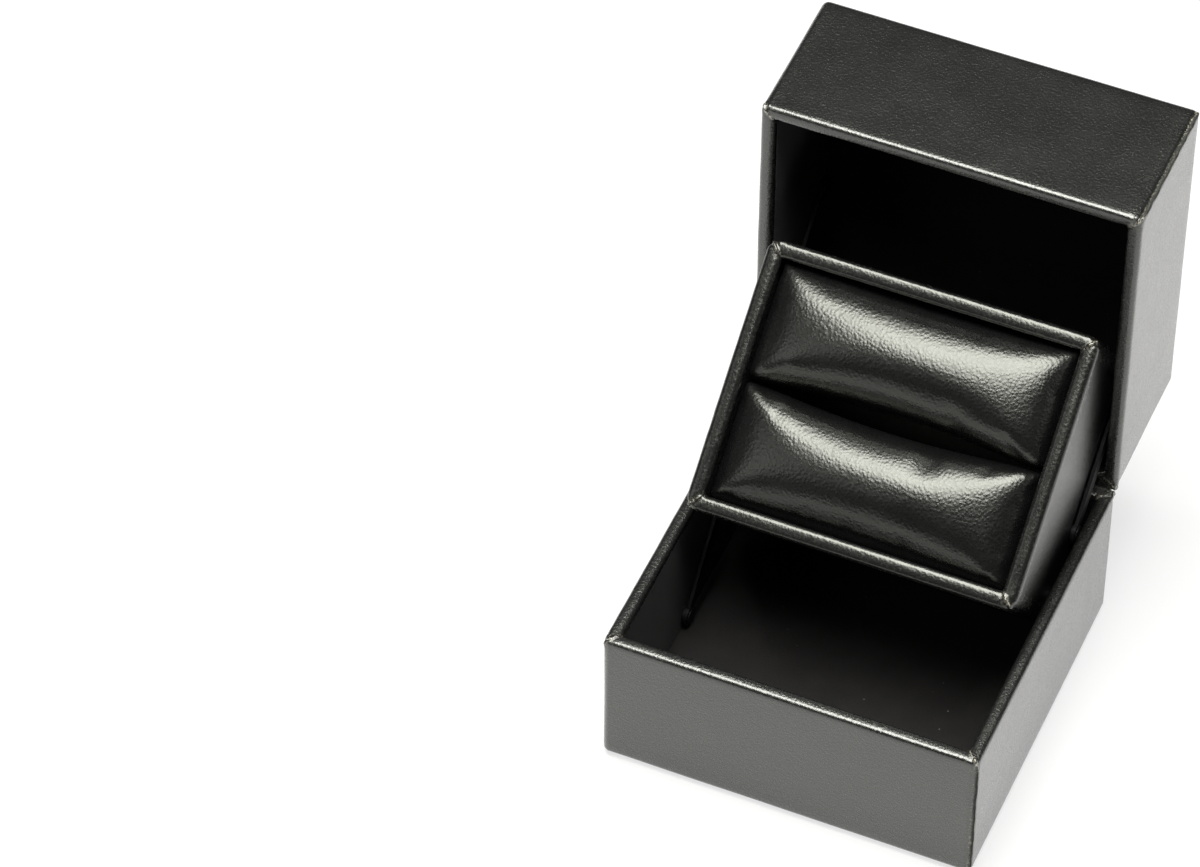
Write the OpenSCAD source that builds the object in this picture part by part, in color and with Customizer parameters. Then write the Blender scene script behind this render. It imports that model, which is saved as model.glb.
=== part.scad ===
// Lift-up ring display box, millimetres, +Z up.
// The origin is the centre of the base's underside and +Y points to the hinge side.
// The box is drawn open: the lid stands behind the base and the cushion tray is lifted and tilted.
// Pairs such as [y, z] are points of the side view, which all the lift parts share.

/* [Box] */
// Outside width, side to side
box_w = 57; // [54:0.5:62]
// Outside depth, front to hinge side
box_d = 55.7; // [54:0.1:60]
// Height of the base, from the surface it stands on to its rim
base_h = 25.1; // [24.5:0.1:26]
// Height of the lid, from the base's rim to the top of the shut box
lid_h = 24.3; // [23.8:0.1:27]
// Gap between the two rolled rims when the box is shut
shut_gap = 0.15; // [0.1:0.05:0.3]

/* [Walls] */
// Thickness of the leatherette wrap
wrap_t = 0.4; // [0.3:0.05:0.5]
// Thickness of the stiff moulded shell
shell_t = 1.3; // [1.2:0.05:1.4]
// Thickness of the flocked lining boards
lining_t = 0.5; // [0.4:0.05:0.6]
// Thickness of the pads on the floor of the base and in the top of the lid
pad_t = 0.5; // [0.4:0.05:0.7]
// Thickness of the felt foot sheet under the base
foot_t = 0.4; // [0.3:0.05:0.5]
// How far the foot sheet stays in from the outline of the base
foot_inset = 1.5; // [1:0.1:3]

/* [Tray] */
// Width of the lift-up tray
tray_w = 50.4; // [50:0.1:50.5]
// Length of the tray, front edge to rear edge
tray_l = 40.6; // [40:0.1:41]
// Depth of the tray, top rim to underside
tray_h = 26.7; // [26:0.05:26.8]
// Tilt of the lifted tray towards the front, in degrees
tray_tilt = 39.1; // [38.5:0.1:40]
// Front top edge of the lifted tray: y, then z
tray_up = [-6.7, 33.4];
// Front top edge of the lowered tray, inside the shut box: y, then z
tray_down = [-23.8, 34.4];
// Radius of the tray's rolled rim
tray_rim_r = 1.25; // [1.15:0.05:1.3]
// Wall of the tray's stiff frame
frame_t = 1.4; // [1.2:0.1:1.6]
// Width of the ledge inside the frame that carries the cushion board
ledge_w = 1; // [0.8:0.1:1.2]
// Radius of the bead round the tray's bottom edge
bead_r = 0.4; // [0.3:0.05:0.45]
// How far the bead stands proud of the tray's sides
bead_proud = 0.1; // [0.05:0.01:0.15]
// Thickness of the cushion board
board_t = 1.2; // [1:0.1:1.5]

/* [Cushions] */
// Depth of the cushions below the tray's rim
cushion_depth = 18; // [16:0.5:19]
// Height of the cushions' crown above the rim
crown = 1.2; // [0.8:0.1:1.6]
// How far the cushions' edges drop below the rim
edge_drop = 2.4; // [2:0.1:3]
// How much further their two ends drop
end_drop = 0.5; // [0.3:0.1:1]
// Gap between the cushions and the outside of the tray
cushion_inset = 2.6; // [2.6:0.1:3]
// Width of the ring slot at its middle
slot_w = 2.2; // [1.6:0.1:3]
// Width of the ring slot at its two ends
slot_end_w = 0.4; // [0.3:0.1:0.8]

/* [Hinge] */
// Radius of the hinge barrel
barrel_r = 0.9; // [0.8:0.05:0.95]
// Radius of the hinge pin
hinge_pin_r = 0.4; // [0.3:0.05:0.45]
// Length of the hinge barrel
barrel_l = 30; // [24:1:36]
// Length of the lid's knuckle, in the middle of the barrel
knuckle_l = 9.6; // [8:0.1:12]
// Gap between the ends of neighbouring knuckles
knuckle_gap = 0.2; // [0.1:0.05:0.3]
// Thickness of the hinge leaves
leaf_t = 0.4; // [0.3:0.05:0.5]
// Height of a hinge leaf, from the hinge line to its edge
leaf_h = 7; // [6:0.5:9]
// Running clearance of a pin in the part that turns on it
running = 0.05; // [0.03:0.01:0.08]

/* [Lift links] */
// Place of the base link's pin in the tray: from its front edge, then below its rim
link_pin = [4, 22.4];
// Place of the lid strut's pin in the tray: from its front edge, then below its rim
strut_pin = [13.9, 23.3];
// Distance of the base link's fixed pivot from the chord of its pin's path
link_rise = 10.9; // [10.6:0.1:11.2]
// Distance of the lid strut's pivot from the chord of its pin's path
strut_rise = -31.7; // [-32:0.1:-31.4]
// Thickness of the links and struts
link_t = 0.5; // [0.4:0.05:0.5]
// Width of their bars
bar_w = 2.4; // [2:0.1:2.6]
// Radius of their eyes
eye_r = 1.6; // [1.5:0.05:1.7]
// Radius of the rivets that they turn on
rivet_r = 0.6; // [0.5:0.05:0.7]
// Radius of the rivets' heads and shoulders
head_r = 1.25; // [1.2:0.05:1.35]
// Thickness of the rivets' heads
head_t = 0.2; // [0.15:0.05:0.2]
// Gap between the tray's bead and the links that pass it
link_gap = 0.1; // [0.08:0.01:0.12]
// Free play of the base link on its tray rivet, which the linkage needs over its travel
link_play = 0.3; // [0.25:0.05:0.4]

/* [Hidden] */
$fn = 48;
fine = 360;
eps = 0.01;

leatherette = "#1d1d1e";
flock = "#101010";
moulded = "#3a3a3c";
felt = "#161616";
card = "#6e675c";
blackened_steel = "#2c2c2e";
plated_steel = "#a9a9a6";

wall_t = wrap_t + shell_t + lining_t;
edge_r = wall_t / 2;
inner_w = box_w - 2 * wall_t;
inner_d = box_d - 2 * wall_t;
shell_in = wrap_t + shell_t;
base_case_h = base_h - foot_t;
lid_case_h = lid_h - shut_gap;
hinge = [box_d / 2, base_h];
shell_rear_y = box_d / 2 - wrap_t;

// The links run in the gap between the tray's sides and the linings, close to the tray.
// The heads of the wall's rivets reach a little further in, where the tray never comes.
gap_out = inner_w / 2;
link_x = tray_w / 2 + bead_proud + link_gap;
link_clear = 0.05;

// Points of the side view: turning them, and the tray lifted and lowered.
function turned(p, a) = [p[0] * cos(a) - p[1] * sin(a), p[0] * sin(a) + p[1] * cos(a)];
function tray_lifted(p) = tray_up + turned([p[0], -p[1]], tray_tilt);
function tray_lowered(p) = tray_down + [p[0], -p[1]];
function lid_opened(p) = hinge + turned(p - hinge, -90);

// A pivot that carries a pin from p to q along an arc lies on the bisector of the chord from p to q.
function chord_pivot(p, q, rise) = (p + q) / 2 + rise * [p[1] - q[1], q[0] - p[0]] / norm(q - p);
link_top = tray_lifted(link_pin);
link_foot = chord_pivot(link_top, tray_lowered(link_pin), link_rise);
strut_low = tray_lifted(strut_pin);
strut_high = chord_pivot(strut_low, lid_opened(tray_lowered(strut_pin)), strut_rise);

// ---- shared shapes ----

// A flat sheet with round corners, standing on z = 0.
module rounded_sheet(w, d, r, h) {
    linear_extrude(h) {
        square([w - 2 * r, d], center = true);
        square([w, d - 2 * r], center = true);
        for (x = [-1, 1], y = [-1, 1]) translate([x * (w / 2 - r), y * (d / 2 - r)]) circle(r);
    }
}

// A block standing on z = 0, centred on the axis.
module centred_block(w, d, h) {
    translate([-w / 2, -d / 2, 0]) cube([w, d, h]);
}

// A round cord laid round a rectangle, with ball corners.
module cord_ring(w, d, r) {
    for (s = [-1, 1]) {
        translate([s * w / 2, 0, 0]) rotate([90, 0, 0]) cylinder(h = d, r = r, center = true);
        translate([0, s * d / 2, 0]) rotate([0, 90, 0]) cylinder(h = w, r = r, center = true);
    }
    for (x = [-1, 1], y = [-1, 1]) translate([x * w / 2, y * d / 2, 0]) sphere(r);
}

// The upper half of such a ring: the rolled rim of a wall that is 2 r thick.
module rolled_rim(w, d, r) {
    intersection() {
        cord_ring(w - 2 * r, d - 2 * r, r);
        centred_block(w + 1, d + 1, r + 1);
    }
}

// A rod along X from x0 to x1, at p of the side view.
module rod(x0, x1, p, r) {
    translate([x0, p[0], p[1]]) rotate([0, 90, 0]) cylinder(h = x1 - x0, r = r);
}

// What stands on the right is repeated on the left.
module both_sides() {
    children();
    mirror([1, 0, 0]) children();
}

// ---- one half of the box: closed end on z = 0, open end at z = h ----

module half_wrap(h) {
    difference() {
        union() {
            translate([0, 0, edge_r]) rounded_sheet(box_w, box_d, edge_r, h - 2 * edge_r);
            translate([0, 0, edge_r]) cord_ring(box_w - 2 * edge_r, box_d - 2 * edge_r, edge_r);
            centred_block(box_w - 2 * edge_r, box_d - 2 * edge_r, edge_r);
        }
        translate([0, 0, wrap_t])
            rounded_sheet(box_w - 2 * wrap_t, box_d - 2 * wrap_t, edge_r - wrap_t, h);
    }
    translate([0, 0, h - edge_r]) {
        rolled_rim(box_w, box_d, edge_r);
        hinge_edge();
    }
}

// Along the hinge side the outer half of the rim is square, so that base and lid meet without a slit.
module hinge_edge() {
    intersection() {
        rounded_sheet(box_w, box_d, edge_r, edge_r);
        translate([-box_w / 2, box_d / 2 - edge_r, 0]) cube([box_w, edge_r, edge_r]);
    }
}

module half_shell(h) {
    difference() {
        translate([0, 0, wrap_t])
            rounded_sheet(box_w - 2 * wrap_t, box_d - 2 * wrap_t, edge_r - wrap_t, h - edge_r - wrap_t);
        translate([0, 0, shell_in]) centred_block(box_w - 2 * shell_in, box_d - 2 * shell_in, h);
    }
}

// The board on the front wall (side = -1) or on the rear wall (side = 1).
module cross_lining(h, side) {
    translate([0, side * (inner_d + lining_t) / 2, shell_in])
        centred_block(box_w - 2 * shell_in, lining_t, h - edge_r - shell_in);
}

// The board on the left wall (side = -1) or on the right wall (side = 1).
module side_lining(h, side) {
    translate([side * (inner_w + lining_t) / 2, 0, shell_in])
        centred_block(lining_t, inner_d, h - edge_r - shell_in);
}

module half_pad() {
    translate([0, 0, shell_in]) centred_block(inner_w, inner_d, pad_t);
}

// The base stands on its foot sheet. The lid is the same kind of half, turned over and then opened.
module at_base() {
    translate([0, 0, foot_t]) children();
}

module at_open_lid() {
    translate([0, hinge[0], hinge[1]]) rotate([-90, 0, 0]) translate([0, -hinge[0], -hinge[1]])
        children();
}

module at_shut_lid() {
    translate([0, 0, base_h + lid_h]) mirror([0, 0, 1]) children();
}

// ---- hinge: the barrel's axis is the upper rear edge of the base ----

rivet_pitch = 10;
hinge_rivet_r = 0.6;
notch_r = barrel_r + 0.15;
own_knuckles = (barrel_l - knuckle_l) / 2 - knuckle_gap;

module barrel_notch() {
    rod(-barrel_l / 2 - knuckle_gap, barrel_l / 2 + knuckle_gap, hinge, notch_r);
}

// A leaf's plate below the hinge line, without the strip beside the barrel.
module leaf_plate() {
    translate([-barrel_l / 2, shell_rear_y - leaf_t, base_h - leaf_h])
        cube([barrel_l, leaf_t, leaf_h - notch_r]);
}

// A knuckle and the tab that joins it to the plate.
module knuckle(x0, length) {
    rod(x0, x0 + length, hinge, barrel_r);
    translate([x0, shell_rear_y - leaf_t, base_h - notch_r - eps]) cube([length, leaf_t, notch_r + eps]);
}

// The pocket that takes a leaf, in the shell and in the rim.
module leaf_pocket() {
    translate([-barrel_l / 2, shell_rear_y - leaf_t, base_h - leaf_h]) cube([barrel_l, leaf_t, leaf_h]);
}

// Rivets through the leaf and the shell's rear wall.
module leaf_rivets() {
    for (x = [-1, 0, 1])
        translate([x * rivet_pitch, shell_rear_y, base_h - leaf_h / 2 - notch_r / 2]) rotate([90, 0, 0])
            cylinder(h = shell_t, r = hinge_rivet_r);
}

// The lid's hinge parts are the base's, mirrored about the hinge line.
module mirrored_to_lid() {
    at_open_lid() translate([0, 0, 2 * base_h]) mirror([0, 0, 1]) children();
}

// ---- lift links ----

// A flat bar with an eye at each end, from p to q of the side view, on the right.
module eye_bar(p, q, hole_p, hole_q) {
    way = q - p;
    translate([link_x, 0, 0]) rotate([90, 0, 90]) linear_extrude(link_t) difference() {
        union() {
            translate(p) circle(eye_r);
            translate(q) circle(eye_r);
            translate(p) rotate(atan2(way[1], way[0])) translate([0, -bar_w / 2])
                square([norm(way), bar_w]);
        }
        translate(p) circle(hole_p);
        translate(q) circle(hole_q);
    }
}

module base_link() {
    color(blackened_steel) eye_bar(link_foot, link_top, rivet_r + running, rivet_r + link_play);
}

module lid_strut() {
    color(blackened_steel) eye_bar(strut_low, strut_high, rivet_r + running, rivet_r + running);
}

// A rivet fixed in the wall of the box, with its shoulder on the lining and its head inside the bar.
module wall_rivet(p) {
    head_x = link_x - link_clear;
    rod(head_x - head_t, head_x, p, head_r);
    rod(head_x - eps, box_w / 2 - wrap_t, p, rivet_r);
    rod(link_x + link_t + link_clear, gap_out, p, head_r);
}

// A rivet fixed in the tray's frame, with its shoulder on the wrap and its head outside the bar.
module tray_rivet(p) {
    frame_in = tray_w / 2 - wrap_t - frame_t - ledge_w;
    head_x = link_x + link_t + link_clear;
    rod(frame_in - head_t, frame_in, p, head_r);
    rod(frame_in - eps, head_x + eps, p, rivet_r);
    rod(tray_w / 2, link_x - link_clear, p, head_r);
    rod(head_x, head_x + head_t, p, head_r);
}

// The hole that such a rivet is pressed into, through everything from x0 outwards.
module rivet_hole(x0, p) {
    both_sides() rod(x0, box_w / 2 - wrap_t, p, rivet_r);
}

// ---- tray: the tray's frame has its top rim in z = 0 and its front edge in y = 0 ----

board_top = -cushion_depth;
frame_bottom = -tray_h + 2 * bead_r;

module at_tray() {
    translate([0, tray_up[0], tray_up[1]]) rotate([tray_tilt, 0, 0]) children();
}

module tray_middle(z) {
    translate([0, tray_l / 2, z]) children();
}

module tray_skirt() {
    h = tray_h - tray_rim_r - bead_r;
    tray_middle(-tray_h + bead_r) difference() {
        rounded_sheet(tray_w, tray_l, tray_rim_r, h);
        translate([0, 0, -1])
            rounded_sheet(tray_w - 2 * wrap_t, tray_l - 2 * wrap_t, tray_rim_r - wrap_t, h + 2);
    }
}

module tray_bead() {
    inset = 2 * (bead_r - bead_proud);
    tray_middle(-tray_h + bead_r) cord_ring(tray_w - inset, tray_l - inset, bead_r);
}

// The plan of the ring slot: a lens between two wide arcs, which runs out through the cushions' ends.
module slot_plan() {
    half_l = tray_w / 2 - cushion_inset;
    half_w = (slot_w - slot_end_w) / 2;
    arc_r = (half_l * half_l + half_w * half_w) / (2 * half_w);
    intersection_for(s = [-1, 1]) translate([0, s * (arc_r - half_w - slot_end_w / 2)])
        circle(arc_r, $fn = 2 * fine);
}

// The crowned top of a cushion that is l wide across the crown and runs along X for w.
module crowned_block(w, l, depth) {
    sag = crown + edge_drop;
    end_sag = sag + end_drop;
    r_short = (l * l / 4 + sag * sag) / (2 * sag);
    r_long = (w * w / 4 + end_sag * end_sag) / (2 * end_sag);
    intersection() {
        translate([0, 0, -depth]) centred_block(w, l, depth + crown + 1);
        translate([0, 0, crown - r_short]) rotate([0, 90, 0])
            cylinder(h = w + 1, r = r_short, center = true, $fn = fine);
        translate([0, 0, crown - r_long]) rotate([90, 0, 0])
            cylinder(h = l + 1, r = r_long, center = true, $fn = 2 * fine);
    }
}

// The cushion in the front half of the tray, with its half of the ring slot taken out.
module front_cushion() {
    l = tray_l / 2 - cushion_inset;
    difference() {
        translate([0, cushion_inset + l / 2, 0]) crowned_block(tray_w - 2 * cushion_inset, l, cushion_depth);
        tray_middle(-cushion_depth - 1) linear_extrude(cushion_depth + crown + 2) slot_plan();
    }
}

// ---- base ----

module base_shell() {
    color(moulded) difference() {
        at_base() half_shell(base_case_h);
        barrel_notch();
        leaf_pocket();
        leaf_rivets();
        rivet_hole(0, link_foot);
    }
}

module base_wrap() {
    color(leatherette) difference() {
        at_base() half_wrap(base_case_h);
        barrel_notch();
        leaf_pocket();
    }
}

module base_foot_sheet() {
    color(felt) rounded_sheet(box_w - 2 * foot_inset, box_d - 2 * foot_inset, 1, foot_t);
}

module base_front_lining() {
    color(flock) at_base() cross_lining(base_case_h, -1);
}

module base_rear_lining() {
    color(flock) at_base() cross_lining(base_case_h, 1);
}

module base_left_lining() {
    color(flock) difference() {
        at_base() side_lining(base_case_h, -1);
        rivet_hole(0, link_foot);
    }
}

module base_right_lining() {
    color(flock) difference() {
        at_base() side_lining(base_case_h, 1);
        rivet_hole(0, link_foot);
    }
}

module base_floor_pad() {
    color(flock) at_base() half_pad();
}

module base_link_rivets() {
    color(blackened_steel) both_sides() wall_rivet(link_foot);
}

// ---- lid ----

module lid_shell() {
    color(moulded) difference() {
        at_open_lid() at_shut_lid() half_shell(lid_case_h);
        barrel_notch();
        mirrored_to_lid() leaf_pocket();
        mirrored_to_lid() leaf_rivets();
        rivet_hole(0, strut_high);
    }
}

module lid_wrap() {
    color(leatherette) difference() {
        at_open_lid() at_shut_lid() half_wrap(lid_case_h);
        barrel_notch();
        mirrored_to_lid() leaf_pocket();
    }
}

module lid_front_lining() {
    color(flock) at_open_lid() at_shut_lid() cross_lining(lid_case_h, -1);
}

module lid_rear_lining() {
    color(flock) at_open_lid() at_shut_lid() cross_lining(lid_case_h, 1);
}

module lid_left_lining() {
    color(flock) difference() {
        at_open_lid() at_shut_lid() side_lining(lid_case_h, -1);
        rivet_hole(0, strut_high);
    }
}

module lid_right_lining() {
    color(flock) difference() {
        at_open_lid() at_shut_lid() side_lining(lid_case_h, 1);
        rivet_hole(0, strut_high);
    }
}

module lid_top_pad() {
    color(flock) at_open_lid() at_shut_lid() half_pad();
}

module lid_strut_rivets() {
    color(blackened_steel) both_sides() wall_rivet(strut_high);
}

// ---- hinge parts ----

module hinge_base_leaf() {
    color(plated_steel) difference() {
        union() {
            leaf_plate();
            knuckle(-barrel_l / 2, own_knuckles);
            knuckle(barrel_l / 2 - own_knuckles, own_knuckles);
        }
        rod(-barrel_l, barrel_l, hinge, hinge_pin_r);
        leaf_rivets();
    }
}

module hinge_lid_leaf() {
    color(plated_steel) mirrored_to_lid() difference() {
        union() {
            leaf_plate();
            knuckle(-knuckle_l / 2, knuckle_l);
        }
        rod(-barrel_l, barrel_l, hinge, hinge_pin_r + running);
        leaf_rivets();
    }
}

module hinge_pin() {
    color(plated_steel) rod(-barrel_l / 2, barrel_l / 2, hinge, hinge_pin_r);
}

module hinge_base_rivets() {
    color(plated_steel) leaf_rivets();
}

module hinge_lid_rivets() {
    color(plated_steel) mirrored_to_lid() leaf_rivets();
}

// ---- links and struts ----

module base_link_left() {
    mirror([1, 0, 0]) base_link();
}

module base_link_right() {
    base_link();
}

module lid_strut_left() {
    mirror([1, 0, 0]) lid_strut();
}

module lid_strut_right() {
    lid_strut();
}

// ---- tray ----

module tray_frame() {
    wall_in = wrap_t + frame_t;
    color(moulded) difference() {
        at_tray() difference() {
            tray_middle(frame_bottom)
                rounded_sheet(tray_w - 2 * wrap_t, tray_l - 2 * wrap_t, tray_rim_r - wrap_t,
                              -frame_bottom - tray_rim_r);
            tray_middle(board_top - board_t)
                centred_block(tray_w - 2 * wall_in, tray_l - 2 * wall_in, tray_h);
            tray_middle(-tray_h - 1)
                centred_block(tray_w - 2 * (wall_in + ledge_w), tray_l - 2 * (wall_in + ledge_w), tray_h);
        }
        rivet_hole(0, link_top);
        rivet_hole(0, strut_low);
    }
}

module tray_wrap() {
    color(leatherette) difference() {
        at_tray() {
            tray_skirt();
            tray_bead();
            tray_middle(-tray_rim_r) rolled_rim(tray_w, tray_l, tray_rim_r);
        }
        rivet_hole(0, link_top);
        rivet_hole(0, strut_low);
    }
}

module tray_bottom_board() {
    inset = 2 * (2 * bead_r - bead_proud) + 0.1;
    color(card) at_tray() tray_middle(-tray_h) centred_block(tray_w - inset, tray_l - inset, 2 * bead_r);
}

module cushion_board() {
    inset = 2 * (wrap_t + frame_t) + 0.2;
    color(card) at_tray() tray_middle(board_top - board_t)
        centred_block(tray_w - inset, tray_l - inset, board_t);
}

module lower_cushion() {
    color(leatherette) at_tray() front_cushion();
}

module upper_cushion() {
    color(leatherette) at_tray() translate([0, tray_l, 0]) mirror([0, 1, 0]) front_cushion();
}

module tray_rivets() {
    color(blackened_steel) both_sides() {
        tray_rivet(link_top);
        tray_rivet(strut_low);
    }
}

base_shell();
base_wrap();
base_foot_sheet();
base_front_lining();
base_rear_lining();
base_left_lining();
base_right_lining();
base_floor_pad();
base_link_rivets();
lid_shell();
lid_wrap();
lid_front_lining();
lid_rear_lining();
lid_left_lining();
lid_right_lining();
lid_top_pad();
lid_strut_rivets();
hinge_base_leaf();
hinge_lid_leaf();
hinge_pin();
hinge_base_rivets();
hinge_lid_rivets();
base_link_left();
base_link_right();
lid_strut_left();
lid_strut_right();
tray_frame();
tray_wrap();
tray_bottom_board();
cushion_board();
lower_cushion();
upper_cushion();
tray_rivets();
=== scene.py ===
import math

import bmesh
import bpy
from mathutils import Matrix, Vector, noise


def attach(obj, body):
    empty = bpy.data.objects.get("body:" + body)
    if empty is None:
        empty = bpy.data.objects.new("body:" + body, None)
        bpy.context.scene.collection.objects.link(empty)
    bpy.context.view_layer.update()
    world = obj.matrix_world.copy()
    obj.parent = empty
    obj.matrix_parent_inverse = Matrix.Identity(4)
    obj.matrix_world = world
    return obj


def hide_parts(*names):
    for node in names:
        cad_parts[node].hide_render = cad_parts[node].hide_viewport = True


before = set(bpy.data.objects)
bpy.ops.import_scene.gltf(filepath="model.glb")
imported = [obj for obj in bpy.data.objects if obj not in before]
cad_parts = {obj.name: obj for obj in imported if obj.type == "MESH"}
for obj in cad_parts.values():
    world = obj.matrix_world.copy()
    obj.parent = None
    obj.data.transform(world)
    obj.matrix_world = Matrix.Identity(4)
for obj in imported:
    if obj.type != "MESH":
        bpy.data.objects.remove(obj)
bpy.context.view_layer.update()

MM = 0.001


# ---------------------------------------------------------------- sizes in millimetres

BOX_WIDTH = 57.0
BOX_DEPTH = 55.7
BASE_HEIGHT = 25.1
LID_HEIGHT = 24.3
FOOT = 0.4                              # the felt under the base
EDGE = 1.1                              # half a wrapped wall's thickness, and the round of its corners
RIM_GAP = 0.15                          # left between the two rims when the box is shut
RIM_PROUD = 0.05                        # the most that a fold may stand up from a rim
HINGE = Vector((0.0, 27.85, 25.1))
BARREL_HALF = 15.2                      # half the length of the notch for the hinge's barrel
BARREL_NOTCH = 1.05                     # the radius of that notch
TRAY_WIDTH = 50.4
TRAY_LENGTH = 40.6
TRAY_DEPTH = 26.7
TRAY_FRONT = Vector((0.0, -6.7, 33.4))
TRAY_TILT = math.radians(39.1)
TRAY_EDGE = 1.25                        # half the width of the tray's rim
TRAY_CORNER = 2.1                       # the round of the tray's corners
BEAD = 0.4                              # the radius of the bead round the tray's bottom edge
BEAD_PROUD = 0.1
PAD_SIDE = 22.7                         # half a cushion's width
PAD_END = 2.5                           # from the tray's outside to a cushion's outer edge


def tray_place():
    """Tray coordinates (across, back from the front edge, up from the rim) to the open box."""
    return Matrix.Translation(TRAY_FRONT) @ Matrix.Rotation(TRAY_TILT, 4, "X")


def base_place():
    """A half box with its closed end down, standing on the felt."""
    return Matrix.Translation((0, 0, FOOT))


def lid_place():
    """The same half box turned over on the base, and then opened by 90 degrees."""
    shut = Matrix.Translation((0, 0, BASE_HEIGHT + LID_HEIGHT)) @ Matrix.Scale(-1, 4, (0, 0, 1))
    quarter_turn = Matrix.Rotation(-math.pi / 2, 4, "X")
    swing = Matrix.Translation(HINGE) @ quarter_turn @ Matrix.Translation(-HINGE)
    return swing @ shut


# ---------------------------------------------------------------- finishes

class Signal:
    """One output of a shader node, used in plain arithmetic."""

    def __init__(self, finish, socket):
        self.finish = finish
        self.socket = socket

    def _math(self, operation, *values):
        return self.finish.node("ShaderNodeMath", {"operation": operation}, dict(enumerate(values)))

    def __add__(self, other):
        return self._math("ADD", self, other)

    def __radd__(self, other):
        return self._math("ADD", other, self)

    def __sub__(self, other):
        return self._math("SUBTRACT", self, other)

    def __rsub__(self, other):
        return self._math("SUBTRACT", other, self)

    def __mul__(self, other):
        return self._math("MULTIPLY", self, other)

    def clamp(self, low=0.0, high=1.0):
        return self._math("MINIMUM", self._math("MAXIMUM", self, low), high)

    def step(self, start, end):
        """0 below start and 1 above end, with a straight slope between them."""
        return ((self - start) * (1.0 / (end - start))).clamp()


def as_colour(value):
    """A colour for a socket: a signal as it is, or a plain colour made opaque."""
    return value if isinstance(value, Signal) else (*value, 1.0)


class Finish:
    """A material on the Principled shader, with its nodes made by expressions."""

    def __init__(self, name, **constants):
        self.material = bpy.data.materials.new(name)
        self.material.use_nodes = True
        self.tree = self.material.node_tree
        self.surface = self.tree.nodes["Principled BSDF"]
        self.place = Signal(self, self.tree.nodes.new("ShaderNodeTexCoord").outputs["Object"])
        for socket, value in constants.items():
            self.set(socket.replace("_", " "), value)

    def feed(self, socket, value):
        if isinstance(value, Signal):
            self.tree.links.new(value.socket, socket)
        else:
            socket.default_value = value

    def set(self, socket, value):
        self.feed(self.surface.inputs[socket], value)

    def node(self, kind, settings=None, inputs=None, output=0):
        made = self.tree.nodes.new(kind)
        for key, value in (settings or {}).items():
            setattr(made, key, value)
        for key, value in (inputs or {}).items():
            self.feed(made.inputs[key], value)
        return Signal(self, made.outputs[output])

    def noise(self, size_mm, detail=3.0, roughness=0.5, place=None):
        return self.node("ShaderNodeTexNoise", None, {
            "Vector": place or self.place, "Scale": 1000.0 / size_mm,
            "Detail": detail, "Roughness": roughness})

    def soft_cells(self, size_mm, place, smoothness):
        """Distance to the middle of uneven cells, rounded where two cells meet."""
        return self.node("ShaderNodeTexVoronoi", {"feature": "SMOOTH_F1"}, {
            "Vector": place, "Scale": 1000.0 / size_mm, "Smoothness": smoothness})

    def dots(self, size_mm, place):
        """Distance to the nearest of some scattered points."""
        return self.node("ShaderNodeTexVoronoi", {"feature": "F1"}, {
            "Vector": place, "Scale": 1000.0 / size_mm})

    def warped(self, size_mm, shift_mm):
        """The surface's place, pushed about by a soft noise."""
        push = self.node("ShaderNodeTexNoise", None, {
            "Vector": self.place, "Scale": 1000.0 / size_mm, "Detail": 2.0}, output=1)
        centred = self.node("ShaderNodeVectorMath", {"operation": "SUBTRACT"},
                            {0: push, 1: (0.5, 0.5, 0.5)})
        scaled = self.node("ShaderNodeVectorMath", {"operation": "SCALE"},
                           {0: centred, "Scale": 2 * shift_mm * MM})
        return self.node("ShaderNodeVectorMath", {"operation": "ADD"}, {0: self.place, 1: scaled})

    def blend(self, factor, first, second):
        return self.node("ShaderNodeMix", {"data_type": "RGBA"},
                         {0: factor, 6: as_colour(first), 7: as_colour(second)}, output=2)

    def attribute(self, name):
        return self.node("ShaderNodeAttribute", {"attribute_name": name}, output=2)

    def bump(self, height, depth_mm, strength=1.0):
        return self.node("ShaderNodeBump", None, {
            "Height": height, "Distance": depth_mm * MM, "Strength": strength})


RUBBED_TONE = (0.16, 0.155, 0.13)
# Pale flecks on the mitre creases and along the seam are painted glints.
GLINT_FLECK_TONE = (0.46, 0.43, 0.33)
LINT_TONE = (0.30, 0.29, 0.26)
SCUFF_TONE = (0.12, 0.12, 0.12)
CLOUD_SIZE = 9.0
CLOUD_DULLS = 0.10
GRAIN_SHINES = 0.06
RUB_SHOWS = 0.22
RUB_DULLS = 0.15
GLINT_FLECK_SHOWS = 0.85
GAP_DULLS = 0.6


def pebble_grain(finish, cell_mm, depth_mm):
    """Embossed leather grain: rounded pebbles of uneven size with fine pores between them."""
    place = finish.warped(cell_mm * 1.6, cell_mm * 0.14)
    pebbles = finish.soft_cells(cell_mm, place, smoothness=0.35)
    small = finish.soft_cells(cell_mm * 0.45, place, smoothness=0.3)
    pores = finish.noise(cell_mm * 0.22, detail=2.0)
    height = 1.0 - (pebbles + small * 0.22 + pores * 0.18)
    return height, finish.bump(height, depth_mm)


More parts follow.
